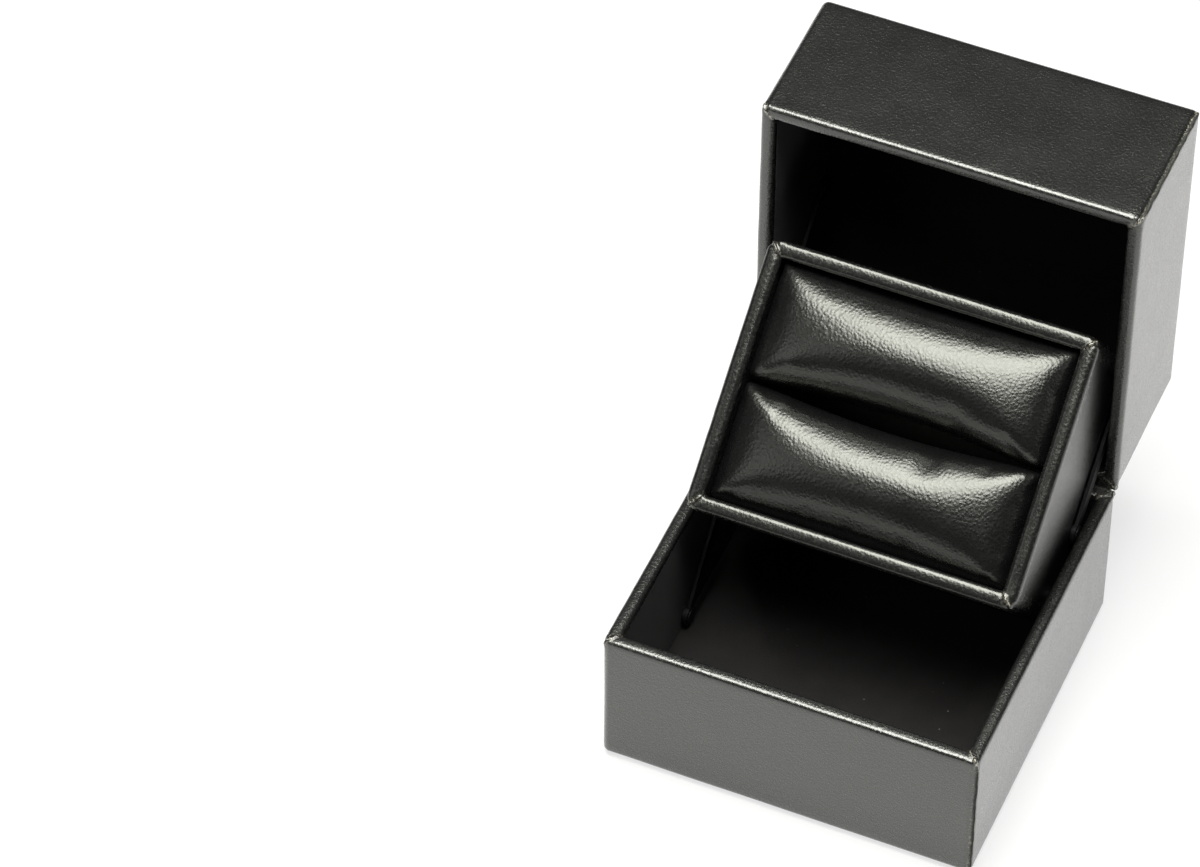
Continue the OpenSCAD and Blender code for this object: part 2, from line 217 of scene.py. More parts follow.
def leatherette(name, cell_mm, depth_mm, dark, light, rough, wear_and_glints=True, **constants):
    """Grained sheet, slightly cloudy; the marks painted on its mesh show too: rub where it is worn, and
    pale flecks that are painted glints on its creases and seam.
    """
    finish = Finish(name, **constants)
    height, normal = pebble_grain(finish, cell_mm, depth_mm)
    cloud = finish.noise(CLOUD_SIZE, detail=4.0, roughness=0.6)
    colour = finish.blend(cloud.step(0.3, 0.7), dark, light)
    roughness = rough + (cloud - 0.5) * CLOUD_DULLS - (height.step(0.1, 0.7) - 0.5) * GRAIN_SHINES
    if wear_and_glints:
        patches = finish.noise(0.55, detail=3.0, roughness=0.7).step(0.52, 0.70)
        rub = finish.attribute("rub") * patches
        colour = finish.blend(rub * RUB_SHOWS, colour, RUBBED_TONE)
        # Painted glints: pale flecks on the mitre creases and along the seam's edges.
        fleck = finish.attribute("glint_fleck") * finish.noise(0.32, detail=2.0).step(0.52, 0.62)
        colour = finish.blend(fleck * GLINT_FLECK_SHOWS, colour, GLINT_FLECK_TONE)
        # Down the butted corner the sheet's raw edges face each other and don't shine.
        gap = finish.attribute("gap")
        roughness = roughness + rub * RUB_DULLS + gap * GAP_DULLS
        if "Coat_Weight" in constants:
            finish.set("Coat Weight", (1 - gap) * constants["Coat_Weight"])
    finish.set("Base Color", colour)
    finish.set("Roughness", roughness.clamp(0.15, 0.9))
    finish.set("Normal", normal)
    return finish.material


def flocked(name, dark, light, dust):
    """Short dull fibres with faint patches and a little lint."""
    finish = Finish(name, Roughness=0.95, Specular_IOR_Level=0.10, Sheen_Weight=0.07, Sheen_Roughness=0.6)
    fibres = finish.noise(0.16, detail=4.0, roughness=0.75)
    patches = finish.noise(6.0, detail=3.0)
    colour = finish.blend((fibres * 0.6 + patches * 0.5).step(0.35, 0.8), dark, light)
    specks = finish.dots(1.9, finish.warped(3.0, 1.2))
    lint = (1.0 - specks.step(0.035, 0.06)) * finish.noise(5.0).step(0.55, 0.62)
    finish.set("Base Color", finish.blend(lint * dust, colour, LINT_TONE))
    finish.set("Normal", finish.bump(fibres + patches * 0.3, 0.12, 0.8))
    return finish.material


def moulded(name):
    """Black moulded plastic with faint flow marks."""
    finish = Finish(name, Specular_IOR_Level=0.45)
    skin = finish.noise(0.35, detail=3.0)
    flow = finish.noise(7.0, detail=2.0)
    finish.set("Base Color", finish.blend(flow, (0.030, 0.030, 0.031), (0.045, 0.045, 0.047)))
    finish.set("Roughness", 0.48 + (flow - 0.5) * 0.12)
    finish.set("Normal", finish.bump(skin, 0.02, 0.5))
    return finish.material


def card_board(name):
    """Dark dull board with short fibres."""
    finish = Finish(name, Specular_IOR_Level=0.25)
    pulp = finish.noise(0.5, detail=5.0, roughness=0.7)
    streak = finish.noise(3.0, detail=3.0)
    finish.set("Base Color", finish.blend((pulp * 0.6 + streak * 0.4).step(0.3, 0.7),
                                          (0.055, 0.052, 0.048), (0.085, 0.080, 0.072)))
    finish.set("Roughness", 0.8 + (pulp - 0.5) * 0.15)
    finish.set("Normal", finish.bump(pulp, 0.03, 0.6))
    return finish.material


def blackened(name):
    """Blackened steel, lightly scuffed."""
    finish = Finish(name, Metallic=0.3, Specular_IOR_Level=0.2)
    mottle = finish.noise(0.8, detail=4.0, roughness=0.6)
    scuff = finish.noise(0.25, detail=2.0).step(0.66, 0.74)
    colour = finish.blend(mottle, (0.006, 0.006, 0.0065), (0.011, 0.011, 0.0115))
    finish.set("Base Color", finish.blend(scuff * 0.25, colour, SCUFF_TONE))
    finish.set("Roughness", 0.55 + (mottle - 0.5) * 0.2)
    finish.set("Normal", finish.bump(mottle, 0.015, 0.5))
    return finish.material


def nickel(name):
    """Nickel plate, brushed along the hinge and slightly tarnished."""
    finish = Finish(name, Metallic=1.0)
    stretched = finish.node("ShaderNodeMapping", None, {"Vector": finish.place, "Scale": (0.08, 1.0, 1.0)})
    brushing = finish.noise(0.12, detail=3.0, place=stretched)
    tarnish = finish.noise(2.5, detail=4.0, roughness=0.6)
    finish.set("Base Color", finish.blend(tarnish.step(0.35, 0.75), (0.58, 0.57, 0.54), (0.42, 0.40, 0.36)))
    finish.set("Roughness", 0.26 + brushing * 0.16 + (tarnish - 0.5) * 0.1)
    finish.set("Normal", finish.bump(brushing, 0.006, 0.4))
    return finish.material


SHEEN_TONE = (0.985, 1.0, 0.91, 1.0)
outer_leatherette = leatherette(
    "outer leatherette", cell_mm=0.37, depth_mm=0.046,
    dark=(0.0058, 0.0062, 0.0060), light=(0.0085, 0.0090, 0.0085), rough=0.27,
    IOR=1.6, Specular_Tint=SHEEN_TONE, Coat_Weight=0.75, Coat_Roughness=0.27, Coat_IOR=1.5)
tray_leatherette = leatherette(
    "tray leatherette", cell_mm=0.42, depth_mm=0.020,
    dark=(0.0050, 0.0051, 0.0052), light=(0.0072, 0.0073, 0.0072), rough=0.23,
    IOR=1.62, Specular_Tint=SHEEN_TONE)
cushion_leatherette = leatherette(
    "cushion leatherette", cell_mm=0.46, depth_mm=0.034,
    dark=(0.0030, 0.0030, 0.0032), light=(0.0042, 0.0042, 0.0043), rough=0.28, wear_and_glints=False,
    IOR=1.62, Specular_Tint=SHEEN_TONE)
wall_flock = flocked("wall flock", (0.0036, 0.0037, 0.0040), (0.0070, 0.0071, 0.0075), dust=0.35)
floor_flock = flocked("floor flock", (0.0080, 0.0076, 0.0076), (0.0200, 0.0188, 0.0180), dust=0.75)
foot_felt = flocked("foot felt", (0.0080, 0.0080, 0.0080), (0.0160, 0.0160, 0.0160), dust=0.3)
shell_plastic = moulded("shell plastic")
backing_card = card_board("backing card")
black_steel = blackened("blackened steel")
nickel_steel = nickel("nickel steel")

NODE_FINISH = {
    shell_plastic: ["base_shell", "lid_shell", "tray_frame"],
    outer_leatherette: ["base_wrap", "lid_wrap"],
    tray_leatherette: ["tray_wrap"],
    foot_felt: ["base_foot_sheet"],
    wall_flock: ["base_front_lining", "base_rear_lining", "base_left_lining", "base_right_lining",
                 "lid_front_lining", "lid_rear_lining", "lid_left_lining", "lid_right_lining",
                 "lid_top_pad"],
    floor_flock: ["base_floor_pad"],
    backing_card: ["tray_bottom_board", "cushion_board"],
    cushion_leatherette: ["lower_cushion", "upper_cushion"],
    black_steel: ["base_link_rivets", "lid_strut_rivets", "tray_rivets", "base_link_left",
                  "base_link_right", "lid_strut_left", "lid_strut_right"],
    nickel_steel: ["hinge_base_leaf", "hinge_lid_leaf", "hinge_pin", "hinge_base_rivets",
                   "hinge_lid_rivets"],
}
for material, names in NODE_FINISH.items():
    for name in names:
        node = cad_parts[name]
        node.data.materials.clear()
        node.data.materials.append(material)


# ---------------------------------------------------------------- wrapped walls

CORNER_STOPS = [0.10, 0.22, 0.36, 0.55, 0.8, 1.1, 1.5, 2.0, 2.7, 3.6]
CLOSED_END_STOPS = (1.2, 3.0, 6.0, 10.0, 15.0, 20.0, 24.0, 26.0)
SIDE_SPACING = 1.25
WALL_SPACING = 1.1
STOP_CLEARANCE = 0.4                    # no even stop comes closer than this to a fixed one
CORNER_STEPS = 14
RIM_STEPS = 16
RIM_SQUARENESS = 3.0                    # 2 would be a half round, more is flatter on top
FOOT_STEPS = 6
BEAD_STEPS = 9
BEAD_LEAD = (0.8, 0.45)                 # two stops on the wall just above the bead's middle
REAR_SIDE = 1                           # the second side of the loft, counted from the right one
WELD = 0.004                            # points closer together than this are joined
SLIVER = 0.002                          # and edges shorter than this are taken out


def smooth(value, start, end):
    """0 below start and 1 above end, eased between them."""
    t = min(1.0, max(0.0, (value - start) / (end - start)))
    return t * t * (3 - 2 * t)


def hump(distance, half_width, power=2):
    """1 at the middle, falling to nothing over about twice the half width."""
    return math.exp(-(distance / half_width) ** power)


def side_stops(length, fixed):
    """Distances along one side, close together at the two corners, where the wrap is folded."""
    middle = length - 2 * CORNER_STOPS[-1]
    count = max(2, round(middle / SIDE_SPACING))
    even = [CORNER_STOPS[-1] + middle * i / count for i in range(1, count)]
    even = [stop for stop in even if all(abs(stop - other) > STOP_CLEARANCE for other in fixed)]
    far_corner = [length - stop for stop in reversed(CORNER_STOPS)]
    return CORNER_STOPS + sorted(even + list(fixed)) + far_corner


def loft_ring(centres, out, rear_stops):
    """One turn round the corners' centres, this far outside the line through them."""
    ring = []
    for index, centre in enumerate(centres):
        following = centres[(index + 1) % 4]
        along = (following - centre).normalized()
        outward = Vector((along.y, -along.x))
        length = (following - centre).length
        fixed = [length / 2 + stop for stop in rear_stops] if index == REAR_SIDE else ()
        for distance in side_stops(length, fixed):
            ring.append(centre + along * distance + outward * out)
        turn_from = math.atan2(outward.y, outward.x)
        diagonal = Vector((math.cos(turn_from), math.sin(turn_from))) + \
            Vector((-math.sin(turn_from), math.cos(turn_from)))
        for step in range(CORNER_STEPS + 1):
            angle = turn_from + math.pi / 2 * step / CORNER_STEPS
            spot = following + Vector((math.cos(angle), math.sin(angle))) * max(out, 0.0)
            ring.append(spot + diagonal * min(out, 0.0))
    return ring


def wall_loft(width, depth, profile, corner, rear_stops=()):
    """Sweeps a wall's section round a rectangle whose corners have a round of this radius.

    A section point is (out, up), with out measured from the line through the corners' centres.
    rear_stops are fixed places along the rear side, from its middle.
    """
    mesh = bmesh.new()
    half_w = width / 2 - corner
    half_d = depth / 2 - corner
    centres = [Vector((half_w, -half_d)), Vector((half_w, half_d)),
               Vector((-half_w, half_d)), Vector((-half_w, -half_d))]
    rings = []
    for out, up in profile:
        ring = loft_ring(centres, out, rear_stops)
        if out < 0:
            # Inside the centre line the sides end at the mitre, so no point may run past it.
            limit_w = half_w + out
            limit_d = half_d + out
            ring = [Vector((max(-limit_w, min(limit_w, p.x)), max(-limit_d, min(limit_d, p.y))))
                    for p in ring]
        rings.append([mesh.verts.new((p.x, p.y, up)) for p in ring])
    for lower, upper in zip(rings, rings[1:]):
        for i in range(len(lower)):
            j = (i + 1) % len(lower)
            mesh.faces.new((lower[i], lower[j], upper[j], upper[i]))
    mesh.faces.new(rings[-1])
    bmesh.ops.remove_doubles(mesh, verts=mesh.verts, dist=WELD)
    bmesh.ops.dissolve_degenerate(mesh, edges=mesh.edges, dist=SLIVER)
    return mesh


def arc(centre, radius, start, end, steps):
    """Points round a centre, from one angle in degrees to another."""
    points = []
    for i in range(steps + 1):
        angle = math.radians(start + (end - start) * i / steps)
        points.append((centre[0] + radius * math.cos(angle), centre[1] + radius * math.sin(angle)))
    return points


def rolled_rim(centre, radius):
    """The folded top of a wall, from its inner side over to its outer one: flat with tight edges."""
    power = 2 / RIM_SQUARENESS
    points = []
    for i in range(RIM_STEPS + 1):
        angle = math.pi * (1 - i / RIM_STEPS)
        across = math.cos(angle)
        rise = max(0.0, math.sin(angle))
        points.append((centre[0] + radius * math.copysign(abs(across) ** power, across),
                       centre[1] + radius * rise ** power))
    return points


def run_down(out, top, bottom):
    """Evenly spaced points down a wall, without its two ends."""
    count = max(2, round((top - bottom) / WALL_SPACING))
    return [(out, top + (bottom - top) * i / count) for i in range(1, count)]


def half_profile(height):
    """A half box's wrap: over the rolled rim, down the wall and across the closed end."""
    rim = rolled_rim((0, height - EDGE), EDGE)
    wall = run_down(EDGE, height - EDGE, EDGE)
    foot = arc((0, EDGE), EDGE, 0, -90, FOOT_STEPS)
    closed_end = [(-stop, 0.0) for stop in CLOSED_END_STOPS]
    return rim + wall + foot + closed_end


def tray_profile():
    """The tray's wrap, with its rim at 0 and a bead round the bottom edge."""
    rim = rolled_rim((TRAY_CORNER - TRAY_EDGE, -TRAY_EDGE), TRAY_EDGE)
    low = -TRAY_DEPTH + BEAD
    wall = run_down(TRAY_CORNER, -TRAY_EDGE, low + BEAD_LEAD[0])
    lead = [(TRAY_CORNER, low + stop) for stop in BEAD_LEAD]
    step_in = math.degrees(math.acos((BEAD - BEAD_PROUD) / BEAD))
    bead = arc((TRAY_CORNER - BEAD + BEAD_PROUD, low), BEAD, step_in, -90, BEAD_STEPS)
    return rim + wall + lead + bead + [(TRAY_CORNER - TRAY_EDGE, low - BEAD)]


# Along the hinge side: where each change sets in and where it is complete. "Behind" is measured
# from the rear corners' centres and "up" from the middle of the rim's roll.
SQUARE_POWER = 14
SQUARED_BEHIND = (-1.0, 0.4)
LEAST_SQUARE = 0.5
FLAT_TOP_BEHIND = (0.2, 0.8)
FLAT_TOP_UP = (0.5, 0.9)
LIP_BEHIND = (-0.2, 0.8)
FLAT_BACK_BEHIND = (0.6, 1.0)
FLAT_BACK_UP = (-1.5, 0.5)
NOTCH_STEP = 0.05                       # half the width of the step at each end of the notch


def square_hinge_edge(mesh, height, hinge_up, lip_up, lip_back):
    """Squares the outer half of the rim along the hinge side, and clears the notch of the barrel.

    The doubled sheet makes a low lip there, lip_up on the rim and lip_back on the rear face.
    """
    for vert in mesh.verts:
        point = vert.co
        up = point.z - (height - EDGE)
        behind = point.y - (BOX_DEPTH / 2 - EDGE)
        beside = abs(point.x) - (BOX_WIDTH / 2 - EDGE)
        reach = math.hypot(max(behind, 0.0), max(beside, 0.0))
        if up > 0 and reach > 0 and behind > SQUARED_BEHIND[0]:
            square = (abs(reach / EDGE) ** SQUARE_POWER + (up / EDGE) ** SQUARE_POWER) ** (1 / SQUARE_POWER)
            grow = 1 + (1 / max(square, LEAST_SQUARE) - 1) * smooth(behind, *SQUARED_BEHIND)
            point.z = height - EDGE + up * grow
            point.x += math.copysign(max(beside, 0.0) * (grow - 1), point.x)
            point.y += max(behind, 0.0) * (grow - 1)
            on_top = smooth(behind, *FLAT_TOP_BEHIND) * smooth(up, *FLAT_TOP_UP)
            point.z += (height + lip_up - point.z) * on_top
        # The two rims meet when the box is shut, so neither stands up by more than this.
        highest = RIM_PROUD + (lip_up - RIM_PROUD) * smooth(behind, *LIP_BEHIND)
        point.z = min(point.z, height + highest)
        on_back = smooth(behind, *FLAT_BACK_BEHIND) * smooth(up, *FLAT_BACK_UP)
        point.y += (BOX_DEPTH / 2 + lip_back - point.y) * on_back
        if abs(point.x) < BARREL_HALF:
            away = Vector((point.y - BOX_DEPTH / 2, point.z - hinge_up))
            if 0 < away.length < BARREL_NOTCH:
                away *= BARREL_NOTCH / away.length
                point.y = BOX_DEPTH / 2 + away.x
                point.z = hinge_up + away.y


# The sheet's unevenness. _SIZE is the length of its waves, _WIDE is half the width of a mark.
SHEET_SHIFT = (37.1, 11.7, 5.3)         # takes each wrap from another stretch of the same noise
BROAD_SIZE = 13.0
NARROW_SIZE = 4.0
NARROW_SHARE = 0.25
RIPPLE_SIZE = 2.2
RIPPLE_HIGH = 0.035
CRUMPLE_SIZE = 0.8
CRUMPLE_HIGH = 0.07
CORNER_REACH = (1.0, 5.0)               # the corner's crumpling fades out between these
EDGE_ZONE = 3.0                         # a wall's upright edge is no further than this from both sides
WEAR_REACH = (0.4, 1.2)                 # the rub along it fades out between these
NO_WEAR = 9.0                           # stands for a place far from any edge
RIM_FADE = (1.5, 0.6)                   # the rim starts and is complete so many EDGEs below its top
RUB_RIM = 0.35
RUB_CORNER = 0.5
RUB_EDGE = 0.35
WANDER_SIZE = 0.7
WANDER = 0.10
CREASE_WIDE = 0.16
CREASE_DEEP = 0.26
CREASE_FLECK_WIDE = 0.22
RIDGE_AWAY = 0.42
RIDGE_WIDE = 0.26
RIDGE_HIGH = 0.07

# The butted seam. Distances are measured round the corner, from where its round starts.
SEAM_TURN = 0.80
SEAM_WANDER_SIZE = 0.9
SEAM_WANDER = 0.09
SEAM_FOOT = (0.2, 1.0)                  # the seam opens between these heights over the closed end
SEAM_CLOSED_AT_RIM = 0.8
PUCKER_SIZE = 0.5
PUCKER_HIGH = 0.09
PUCKER_WIDE = 0.45
LAP_HIGH = 0.09
LAP_START = (0.10, 0.22)
LAP_END = (1.1, 1.7)
GROOVE_WIDE = 0.24
GROOVE_DEEP = 0.38
# Pale flecks along the seam's edges: painted glints.
SEAM_GLINT_LEAST = 0.35
SEAM_GLINT_MORE = 0.5
SEAM_GLINT_HEIGHTS = (2.0, 12.0)              # painted glints strongest below the first and weakest above the second
SEAM_GLINT_AWAY = 0.28
SEAM_GLINT_WIDE = 0.12


def butted_seam(height, where, on_rim, turn):
    """The butted edges of the sheet, down one corner of the walls: a ragged open groove.

    Returns how far the sheet moves out, how open the groove is and how strongly its edges get pale flecks,
    which are painted glints.
    """
    ragged = turn - SEAM_TURN - SEAM_WANDER * noise.noise(where / SEAM_WANDER_SIZE)
    on_wall = smooth(height, *SEAM_FOOT) * (1 - SEAM_CLOSED_AT_RIM * on_rim)
    pucker = noise.noise(where / PUCKER_SIZE) * PUCKER_HIGH * hump(ragged, PUCKER_WIDE)
    lap = LAP_HIGH * smooth(ragged, *LAP_START) * (1 - smooth(turn, *LAP_END))
    groove = hump(ragged, GROOVE_WIDE, power=4)
    seam_glint = SEAM_GLINT_LEAST + SEAM_GLINT_MORE * (1 - smooth(height, *SEAM_GLINT_HEIGHTS))
    move = (lap + pucker - GROOVE_DEEP * groove) * on_wall
    return move, groove * on_wall, seam_glint * hump(abs(ragged) - SEAM_GLINT_AWAY, SEAM_GLINT_WIDE) * on_wall


def dress(mesh, rim_z, half_w, half_d, seed, wave, seam=None):
    """Gives the swept wrap the small unevenness of a sheet glued and folded over board.

    It also paints the marks that the finish shows: the rub of wear, pale flecks that are painted glints on
    the mitre creases and the seam's edges, and the seam's gap.
    """
    rub = mesh.verts.layers.float.new("rub")
    glint_fleck = mesh.verts.layers.float.new("glint_fleck")
    gap = mesh.verts.layers.float.new("gap")
    mesh.normal_update()
    moves = []
    offset = Vector([seed * shift for shift in SHEET_SHIFT])
    for vert in mesh.verts:
        p = vert.co
        where = p + offset
        on_rim = smooth(p.z, rim_z - RIM_FADE[0] * EDGE, rim_z - EDGE * RIM_FADE[1])
        dx = half_w - abs(p.x)
        dy = half_d - abs(p.y)
        from_corner = math.hypot(max(dx, 0.0), max(dy, 0.0))
        near_corner = 1 - smooth(from_corner, *CORNER_REACH)
        edge_of_wall = 1 - smooth(min(dx, dy) if max(dx, dy) < EDGE_ZONE else NO_WEAR, *WEAR_REACH)
        broad = noise.noise(where / BROAD_SIZE) * wave
        narrow = noise.noise(where / NARROW_SIZE) * wave * NARROW_SHARE
        ripple = noise.noise(where / RIPPLE_SIZE) * RIPPLE_HIGH * on_rim
        crumple = noise.noise(where / CRUMPLE_SIZE) * CRUMPLE_HIGH * near_corner * on_rim
        # The mitre: a crease on the diagonal, with a low ridge on each side of it.
        diagonal = (dx - dy) / math.sqrt(2)
        wobble = diagonal + WANDER * noise.noise(where / WANDER_SIZE)
        ridge = hump(abs(wobble) - RIDGE_AWAY, RIDGE_WIDE) * RIDGE_HIGH
        crease = hump(wobble, CREASE_WIDE) * CREASE_DEEP - ridge
        move = broad + narrow + ripple + crumple - crease * on_rim * near_corner
        seam_glint = 0.0
        beside = abs(p.x) - (half_w - EDGE)
        before = abs(p.y) - (half_d - EDGE)
        if seam and p.x * seam[0] > 0 and p.y * seam[1] > 0 and beside > 0 and before > 0:
            turn = EDGE * math.atan2(before, beside)
            seam_move, vert[gap], seam_glint = butted_seam(p.z, where, on_rim, turn)
            move += seam_move
        vert[rub] = min(1.0, on_rim * RUB_RIM + RUB_CORNER * near_corner * on_rim + RUB_EDGE * edge_of_wall)
        # Painted glints: pale flecks along the seam's edges and on the mitre crease.
        vert[glint_fleck] = max(seam_glint, on_rim * near_corner * hump(wobble, CREASE_FLECK_WIDE))
        moves.append((vert, vert.normal * move))
    for vert, move in moves:
        vert.co += move


def finish_piece(name, mesh, place, material):
    """Turns a mesh in millimetres into a piece of the scene, in metres."""
    mesh.transform(Matrix.Scale(MM, 4) @ place)
    bmesh.ops.recalc_face_normals(mesh, faces=mesh.faces)
    for face in mesh.faces:
        face.smooth = True
    data = bpy.data.meshes.new(name)
    mesh.to_mesh(data)
    mesh.free()
    piece = bpy.data.objects.new(name, data)
    bpy.context.scene.collection.objects.link(piece)
    data.materials.append(material)
    return piece


FRONT_RIGHT = (1, -1)                   # the corner with the butted seam
BOX_WAVE = 0.05                         # how far the sheet waves in and out on base and lid
TRAY_WAVE = 0.03                        # and on the tray


def half_wrap(name, height, hinge_up, place, seed, lip_up, lip_back):
    """The wrap of the base or of the lid, built with its closed end down."""
    notch_ends = [end + step for end in (-BARREL_HALF, BARREL_HALF) for step in (-NOTCH_STEP, NOTCH_STEP)]
    mesh = wall_loft(BOX_WIDTH, BOX_DEPTH, half_profile(height), EDGE, notch_ends)
    dress(mesh, rim_z=height, half_w=BOX_WIDTH / 2, half_d=BOX_DEPTH / 2, seed=seed,
          wave=BOX_WAVE, seam=FRONT_RIGHT)
    square_hinge_edge(mesh, height, hinge_up, lip_up, lip_back)
    return finish_piece(name, mesh, place, outer_leatherette)


base_skin = half_wrap("base_leatherette", height=BASE_HEIGHT - FOOT, hinge_up=BASE_HEIGHT - FOOT,
                      place=base_place(), seed=1, lip_up=0.04, lip_back=0.06)
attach(base_skin, "base")
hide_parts("base_wrap")

lid_skin = half_wrap("lid_leatherette", height=LID_HEIGHT - RIM_GAP, hinge_up=LID_HEIGHT,
                     place=lid_place(), seed=2, lip_up=0.10, lip_back=0.14)
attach(lid_skin, "lid")
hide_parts("lid_wrap")

tray_mesh = wall_loft(TRAY_WIDTH, TRAY_LENGTH, tray_profile(), TRAY_CORNER)
dress(tray_mesh, rim_z=0.0, half_w=TRAY_WIDTH / 2, half_d=TRAY_LENGTH / 2, seed=3, wave=TRAY_WAVE)
tray_skin = finish_piece("tray_leatherette", tray_mesh,
                         tray_place() @ Matrix.Translation((0, TRAY_LENGTH / 2, 0)), tray_leatherette)
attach(tray_skin, "tray")
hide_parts("tray_wrap")


# ---------------------------------------------------------------- cushions

LOWER = -1
UPPER = 1
SLOT_U = TRAY_LENGTH / 2
SLOT_MIDDLE = -0.8                      # the slot is widest a little to the left
SLOT_HALF_LENGTH = 21.5
SLOT_CLOSED = 0.10                      # half the opening at the slot's ends
SLOT_PARTED = 1.25                      # what the middle adds to that
SLOT_TAPER = 1.3

SIDE_ROLL = 6.0                         # how far the top rolls down towards the tray's sides,
OUTER_ROLL = {LOWER: 3.0, UPPER: 6.5}   # towards its front or rear wall
SLOT_ROLL = {LOWER: 2.7, UPPER: 2.9}    # and into the slot
ROLL_BLEND = 0.12
TOP_AT_WALL = -1.9
ROLL_HIGH = 1.4
SWELL_HIGH = 0.6
LEAN_HIGH = {LOWER: 0.4, UPPER: 1.1}    # how much higher the top stands near the slot
# The mark that a ring's setting has pressed in: across and its half width, back and its half width.
DENT = {LOWER: (7.0, 1.3, 17.9, 1.5), UPPER: (8.0, 1.5, 22.3, 1.2)}
DENT_DEEP = 0.45
PAD_FOOT = -9.0
PAD_COLUMNS = 60
PAD_ROWS = 24

SIM_SCALE = 25.0
SIM_STEPS = 20
PAD_VOXEL = 0.7
PAD_REACH = 1.8                         # the most that the swelling may move a point
PAD_SLACK = 0.1                         # and how far past its own outline
HELD_BELOW = -4.2
HELD_FADE = 1.2


def slot_half(x):
    """Half the opening of the ring slot at x: parted in the middle, closed towards its ends."""
    t = (x - SLOT_MIDDLE) / SLOT_HALF_LENGTH
    return SLOT_CLOSED + SLOT_PARTED * max(0.0, 1 - t * t) ** SLOT_TAPER


def pad_outline(which, x):
    """The outer edge and the slot edge of a cushion at x."""
    outer = PAD_END if which == LOWER else TRAY_LENGTH - PAD_END
    return outer, SLOT_U + which * slot_half(x)


def round_over(t):
    """A quarter round: 0 at 0, rising steeply and then level at 1."""
    return math.sqrt(1 - (1 - min(1.0, max(0.0, t))) ** 2)


def nearest(distances):
    """The least of some distances, rounded where two of them are alike."""
    low = min(distances)
    return low - ROLL_BLEND * math.log(sum(math.exp((low - d) / ROLL_BLEND) for d in distances))


def pad_rise(which, x, u, outer, inner):
    """Height of the cushion's top: rolled down at the tray's walls and, more tightly, into the slot."""
    side = (PAD_SIDE - abs(x)) / SIDE_ROLL
    wall = abs(u - outer) / OUTER_ROLL[which]
    slot = abs(inner - u) / SLOT_ROLL[which]
    edge = round_over(nearest((side, wall, slot)))
    t = abs(u - outer) / abs(inner - outer)
    swell = (1 - (x / PAD_SIDE) ** 2) * math.sin(math.pi * min(1.0, t))
    dent_x, dent_wide, dent_u, dent_long = DENT[which]
    dent = math.exp(-((x - dent_x) / dent_wide) ** 2 - ((u - dent_u) / dent_long) ** 2)
    lean = LEAN_HIGH[which] * (1 - (1 - min(1.0, t)) ** 2)
    return TOP_AT_WALL + ROLL_HIGH * edge + SWELL_HIGH * swell + lean * edge - DENT_DEEP * dent


def pad_mesh(which):
    """The cushion before it is inflated, in tray coordinates."""
    mesh = bmesh.new()
    top = []
    under = []
    for i in range(PAD_COLUMNS + 1):
        x = PAD_SIDE * (-1 + 2 * i / PAD_COLUMNS)
        outer, inner = pad_outline(which, x)
        top_row = []
        under_row = []
        for j in range(PAD_ROWS + 1):
            u = outer + (inner - outer) * j / PAD_ROWS
            top_row.append(mesh.verts.new((x, u, pad_rise(which, x, u, outer, inner))))
            under_row.append(mesh.verts.new((x, u, PAD_FOOT)))
        top.append(top_row)
        under.append(under_row)
    for i in range(PAD_COLUMNS):
        for j in range(PAD_ROWS):
            mesh.faces.new((top[i][j], top[i + 1][j], top[i + 1][j + 1], top[i][j + 1]))
            mesh.faces.new((under[i][j], under[i][j + 1], under[i + 1][j + 1], under[i + 1][j]))
    for i in range(PAD_COLUMNS):
        mesh.faces.new((top[i][0], under[i][0], under[i + 1][0], top[i + 1][0]))
        mesh.faces.new((top[i][-1], top[i + 1][-1], under[i + 1][-1], under[i][-1]))
    for j in range(PAD_ROWS):
        mesh.faces.new((top[0][j], top[0][j + 1], under[0][j + 1], under[0][j]))
        mesh.faces.new((top[-1][j], under[-1][j], under[-1][j + 1], top[-1][j + 1]))
    bmesh.ops.recalc_face_normals(mesh, faces=mesh.faces)
    return mesh


def apply_all(piece):
    """Puts the result of a piece's modifiers into its mesh."""
    shown = piece.evaluated_get(bpy.context.evaluated_depsgraph_get())
    result = bpy.data.meshes.new_from_object(shown)
    piece.modifiers.clear()
    piece.data = result


def inflate(piece, which):
    """Remeshes the pad, blows it up as cloth held at its foot, and caps how far it may swell.

    The cloth is made larger than life for this, because its solver isn't made for millimetres.
    """
    piece.data.transform(Matrix.Scale(SIM_SCALE, 4))
    remesh = piece.modifiers.new("even", "REMESH")
    remesh.mode = "VOXEL"
    remesh.voxel_size = PAD_VOXEL * MM * SIM_SCALE
    remesh.use_smooth_shade = True
    apply_all(piece)
    start = [v.co.copy() for v in piece.data.vertices]
    to_mm = 1 / (MM * SIM_SCALE)
    held = piece.vertex_groups.new(name="held")
    for index, point in enumerate(start):
        height = point.z * to_mm
        held.add([index], 1 - smooth(height, HELD_BELOW, HELD_BELOW + HELD_FADE), "REPLACE")
    cloth = piece.modifiers.new("swell", "CLOTH")
    settings = cloth.settings
    settings.quality = 6
    settings.mass = 0.25
    settings.tension_stiffness = 12
    settings.compression_stiffness = 12
    settings.bending_stiffness = 0.25
    settings.shrink_min = -0.005
    settings.use_pressure = True
    settings.uniform_pressure_force = 4.0
    settings.vertex_group_mass = "held"
    settings.effector_weights.gravity = 0.0
    cloth.collision_settings.use_collision = False
    scene = bpy.context.scene
    for step in range(1, SIM_STEPS + 1):
        scene.frame_set(step)
    apply_all(piece)
    scene.frame_set(1)
    for vert, origin in zip(piece.data.vertices, start):
        move = (vert.co - origin) * to_mm
        if move.length > PAD_REACH:
            move *= PAD_REACH / move.length
        point = origin * to_mm + move
        low, high = sorted(pad_outline(which, point.x))
        point.x = max(-PAD_SIDE - PAD_SLACK, min(PAD_SIDE + PAD_SLACK, point.x))
        point.y = max(low - PAD_SLACK, min(high + PAD_SLACK, point.y))
        vert.co = point * (MM * SIM_SCALE)
    piece.data.transform(Matrix.Scale(1 / SIM_SCALE, 4))


